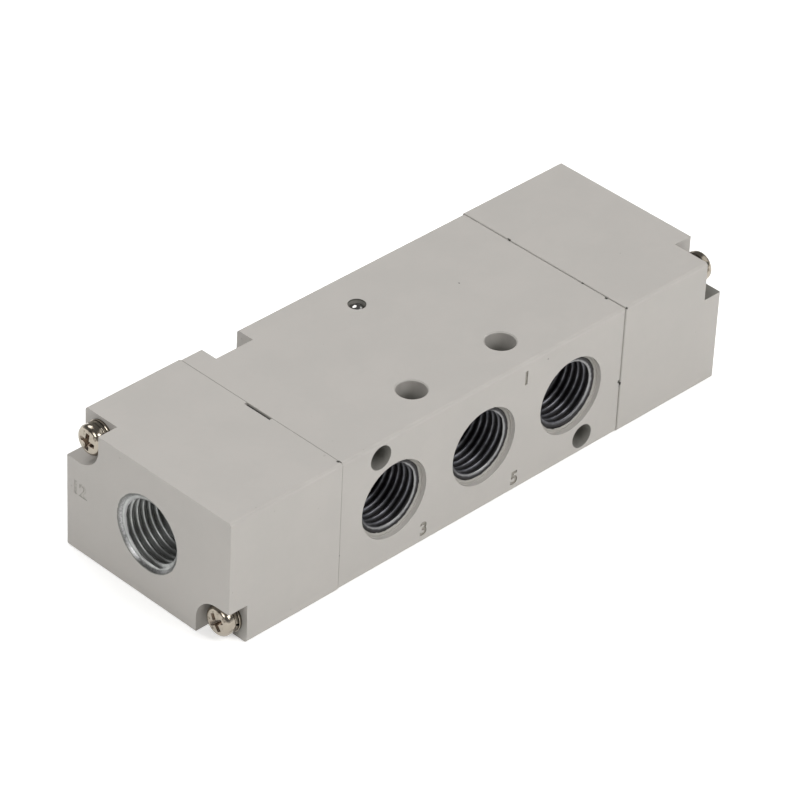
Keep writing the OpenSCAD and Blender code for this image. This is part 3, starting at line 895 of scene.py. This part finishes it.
def head_profile(radius, height):
    """Pan head from the rim up: straight side, rounded shoulder, crisp front edge and a slight crown."""
    points = [(radius - RIM_BREAK, 0.0), (radius, RIM_BREAK)]
    for i in range(SHOULDER_STEPS + 1):
        angle = math.pi / 2 * i / SHOULDER_STEPS
        points.append((FRONT_FLAT + (radius - FRONT_FLAT) * math.cos(angle),
                       height - FRONT_CROWN - SHOULDER_DROP * (1 - math.sin(angle))))
    for i in range(1, CROWN_STEPS):
        share = i / CROWN_STEPS
        points.append((FRONT_FLAT * (1 - share), height - FRONT_CROWN * (1 - share) ** 2))
    return points


def screw_mesh(radius, height, shank_r, length):
    """Pan head screw with its head's underside at Z = 0 and its head towards +Z."""
    bm = bmesh.new()
    rings = [ring(bm, r, z, SCREW_COLUMNS) for r, z in head_profile(radius, height)]
    for low, high in zip(rings, rings[1:]):
        bridge(bm, low, high)
    tip = bm.verts.new((0, 0, height))
    last = rings[-1]
    for j in range(SCREW_COLUMNS):
        bm.faces.new((last[j], last[(j + 1) % SCREW_COLUMNS], tip))
    neck = ring(bm, shank_r, 0.0, SCREW_COLUMNS)
    bridge(bm, rings[0], neck)
    top = SCREW_THREAD - length

    def radius_at(z, share):
        wave = (shank_r + SCREW_CORE) / 2 + (shank_r - SCREW_CORE) / 2 * math.cos(2 * math.pi * share)
        run_out = max(shank_r - (top - z), SCREW_CORE)
        point = SCREW_CORE + (z + length)
        return min(max(wave, run_out), point, shank_r)

    thread_top, end = helical_wall(bm, radius_at, top, -length, SCREW_PITCH, SCREW_ROWS, SCREW_COLUMNS)
    bridge(bm, neck, thread_top)
    bm.faces.new(end)
    return mesh_from(bm, "cap_screw", sharp_angle=math.radians(40))


def recess_outline(bm, reach, half, z):
    """Cross of four wings at a height, as a loop of vertices."""
    outline = []
    for quarter in range(4):
        turn = Matrix.Rotation(quarter * math.pi / 2, 3, "Z")
        for x, y in ((half, half), (reach, half), (reach, -half)):
            outline.append(bm.verts.new(turn @ Vector((x, y, z))))
    return sorted(outline[::-1], key=lambda v: math.atan2(v.co.y, v.co.x))


def recess_mesh(height):
    """Solid that fills the cross recess: it narrows to a blunt point and stands out past the head."""
    bm = bmesh.new()
    span, bar = (OVERRUN_FLARE * size for size in RECESS_FRONT)
    front = recess_outline(bm, span, bar, height + RECESS_OVERRUN)
    floor = recess_outline(bm, *RECESS_FLOOR, height - RECESS_DEPTH)
    bridge(bm, front, floor)
    bm.faces.new(front)
    bm.faces.new(floor)
    return mesh_from(bm, "cross")


def recessed_screw(radius, height, shank_r, length, material, recess_material):
    """Screw mesh with the cross recess cut into its head."""
    cutter = new_object("cutter", recess_mesh(height))
    cutter.data.materials.append(recess_material)
    screw = new_object("screw", screw_mesh(radius, height, shank_r, length))
    screw.data.materials.append(material)
    cut_away(screw, cutter)
    soften = screw.modifiers.new("soften", "BEVEL")
    soften.width = EDGE_SOFTNESS
    soften.segments = 2
    soften.limit_method = "ANGLE"
    soften.angle_limit = math.radians(40)
    bpy.context.view_layer.update()
    mesh = evaluated(screw, "cap_screw")
    mesh.shade_smooth()
    mesh.set_sharp_from_angle(angle=math.radians(45))
    bpy.data.objects.remove(cutter)
    bpy.data.objects.remove(screw)
    return mesh


# Washers
WASHER_HOLE = 1.65 * MM
WASHER_STEPS = 64
SPRING_CORNER = 0.07 * MM
FLAT_CORNER = 0.06 * MM
SPLIT_GAP = 0.45 * MM
SPLIT_SLANT = math.radians(20)


def swept_ring(section, start, stop, closed):
    """Ring about Z with a section of (radius, height) points, swept between two angles."""
    bm = bmesh.new()
    loops = []
    for i in range(WASHER_STEPS if closed else WASHER_STEPS + 1):
        angle = start + (stop - start) * i / WASHER_STEPS
        loops.append([bm.verts.new((r * math.cos(angle), r * math.sin(angle), z)) for r, z in section])
    pairs = list(zip(loops, loops[1:]))
    if closed:
        pairs.append((loops[-1], loops[0]))
    for first, second in pairs:
        bridge(bm, first, second)
    if not closed:
        bm.faces.new(loops[0])
        bm.faces.new(loops[-1])
    return bm


def soft_section(outer, thickness, corner):
    """Washer's section with cut corners, in (radius, height)."""
    inner = WASHER_HOLE
    return [(inner + corner, 0), (outer - corner, 0),
            (outer, corner), (outer, thickness - corner),
            (outer - corner, thickness), (inner + corner, thickness),
            (inner, thickness - corner), (inner, corner)]


def spring_washer_mesh(outer, thickness, material):
    """Split ring whose cut ends slant and stand a little apart."""
    half_gap = SPLIT_GAP / 2 / outer
    section = soft_section(outer, thickness, SPRING_CORNER)
    bm = swept_ring(section, half_gap, 2 * math.pi - half_gap, closed=False)
    for v in bm.verts:
        slant = (v.co.z - thickness / 2) * math.tan(SPLIT_SLANT)
        near = max(0.0, v.co.x / outer) ** 8
        v.co.y += slant * near
    mesh = mesh_from(bm, "spring_washer", sharp_angle=math.radians(30))
    mesh.materials.append(material)
    return mesh


def flat_washer_mesh(outer, thickness, material):
    bm = swept_ring(soft_section(outer, thickness, FLAT_CORNER), 0, 2 * math.pi, closed=True)
    mesh = mesh_from(bm, "flat_washer", sharp_angle=math.radians(30))
    mesh.materials.append(material)
    return mesh


# Degrees by which each screw happens to be turned, seen along its head
SCREW_TURNS = {"a_upper": -6, "a_lower": 32, "b_upper": 15, "b_lower": 50}


def stand_in(node, mesh, towards, turn, seat):
    """Piece that stands for a CAD node. The mesh's own +Z turns to X, away from the valve's middle,
    and its seat goes to that distance from the middle."""
    low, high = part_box(node)
    mesh = mesh.copy()
    mesh.transform(Matrix.Rotation(towards * math.pi / 2, 4, "Y") @ Matrix.Rotation(turn, 4, "Z"))
    piece = new_object(node + "_fine", mesh)
    piece.location = (towards * seat, (low.y + high.y) / 2, (low.z + high.z) / 2)
    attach(piece, "housing")
    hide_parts(node)


def make_fasteners():
    """The four screws with their washers, sized by the far cap's lower ones."""
    nickel = plated("nickel", NICKEL, NICKEL_DARK, rough=0.12, painted_shade=0.9)
    # The cross recess gets darker, browner plating than the head: painted shade in the recess
    recess_metal = plated("recess_metal", RECESS_METAL, darker(RECESS_METAL, 0.25), rough=0.15)
    low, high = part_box("cap_screw_b_lower")
    washer_low, washer_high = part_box("spring_washer_b_lower")
    flat_low, flat_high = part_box("flat_washer_b_lower")
    head_r = (high.y - low.y) / 2
    seat = washer_high.x
    screw = recessed_screw(head_r, high.x - seat, SHANK_RADIUS, seat - low.x, nickel, recess_metal)
    spring = spring_washer_mesh((washer_high.z - washer_low.z) / 2, washer_high.x - washer_low.x, nickel)
    flat = flat_washer_mesh((flat_high.y - flat_low.y) / 2, flat_high.x - flat_low.x, nickel)
    for place, turn in SCREW_TURNS.items():
        towards = -1 if place.startswith("a") else 1
        outward = math.copysign(math.pi / 2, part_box("cap_screw_" + place)[0].y)
        stand_in("cap_screw_" + place, screw, towards, math.radians(turn), seat)
        stand_in("spring_washer_" + place, spring, towards, outward, washer_low.x)
        stand_in("flat_washer_" + place, flat, towards, 0, flat_low.x)


# Pieces that stay as CAD has them

def dress_cad_nodes():
    """Gives the ball, the spool, the pistons and the rubber parts the material of their slot."""
    looks = {"bright_steel": plated("ball_steel", STEEL, STEEL_DARK, rough=0.08),
             "machined_aluminium": turned_metal("spool_metal", ALUMINIUM),
             "black_rubber": moulded("rubber", RUBBER, rough=0.6, grain_size=0.2 * MM, gloss=0.25),
             "piston_acetal": moulded("acetal", ACETAL, rough=0.4, grain_size=0.5 * MM, gloss=0.5)}
    for part in frame["record"]["subparts"]:
        if part["material_slot"] in looks:
            NODES[part["node"]].material_slots[0].material = looks[part["material_slot"]]


# Studio. Its lengths are in metres
FLOOR_REACH = 3
FLOOR_SEGMENTS = 8
FLOOR_DROP = 0.02 * MM
FLOOR_LIFT = 0.45
FLOOR_FADE = (0.10, 0.45)
SKY_LEVEL = 0.20
SKY_FADE = (0.10, 0.22)
LAMP_DISTANCE = 0.9


def seen_rays(shader):
    """1 for camera, glossy and transmission rays."""
    path = shader.add("ShaderNodeLightPath").outputs
    kinds = ("Is Camera Ray", "Is Glossy Ray", "Is Transmission Ray")
    return shader.combine("MAXIMUM", [path[kind] for kind in kinds])


def floor_paper():
    """Matte paper that is lifted to white away from the valve, where it is seen but not as a lamp."""
    shader = material_shader("floor_paper")
    matte = shader.add("ShaderNodeBsdfDiffuse")
    shader.feed_color(matte.inputs["Color"], FLOOR_COLOR)
    away = shader.vector("LENGTH", shader.point, (0, 0, 0), "Value")
    lift = shader.spread(away, *FLOOR_FADE, FLOOR_LIFT, 1.0, curve="LINEAR")
    white = shader.add("ShaderNodeEmission")
    shader.feed(white.inputs["Strength"], shader.math("MULTIPLY", lift, seen_rays(shader)))
    both = shader.add("ShaderNodeAddShader")
    shader.feed(both.inputs[0], matte.outputs[0])
    shader.feed(both.inputs[1], white.outputs[0])
    return shader.close(both.outputs[0])


def make_floor():
    bm = bmesh.new()
    bmesh.ops.create_grid(bm, x_segments=FLOOR_SEGMENTS, y_segments=FLOOR_SEGMENTS, size=FLOOR_REACH)
    floor = new_object("floor", mesh_from(bm, "floor"))
    floor.location.z = -FLOOR_DROP
    floor.data.materials.append(floor_paper())


def make_world():
    """Even grey sky that turns white towards the horizon, where it is the backdrop."""
    world = bpy.data.worlds.new("studio")
    bpy.context.scene.world = world
    shader = Shader(world)
    height = shader.split(shader.coordinates["Generated"])[2]
    sky = shader.add("ShaderNodeBackground")
    shader.feed(sky.inputs["Strength"], shader.spread(height, *SKY_FADE, 1.0, SKY_LEVEL))
    shader.close(sky.outputs[0], "ShaderNodeOutputWorld")


def make_lamp(name, azimuth, elevation, size, energy):
    """Round soft lamp that looks at the valve. Its angles are in degrees."""
    data = bpy.data.lights.new(name, "AREA")
    data.shape = "DISK"
    data.size = size
    data.energy = energy
    lamp = new_object(name, data)
    away = direction(math.radians(azimuth), math.radians(elevation))
    lamp.matrix_world = Matrix.Translation(away * LAMP_DISTANCE) @ looking_back(away).to_4x4()


make_camera()
make_world()
make_floor()
make_lamp("key", azimuth=-72, elevation=42, size=0.5, energy=3.85)
make_lamp("fill", azimuth=195, elevation=38, size=0.4, energy=2.4)
make_lamp("back", azimuth=85, elevation=55, size=0.6, energy=3.1)
make_lamp("right", azimuth=-20, elevation=36, size=0.6, energy=0.8)
dress_cad_nodes()
make_castings()
make_threads()
make_fasteners()
bpy.context.scene.view_settings.view_transform = "Standard"
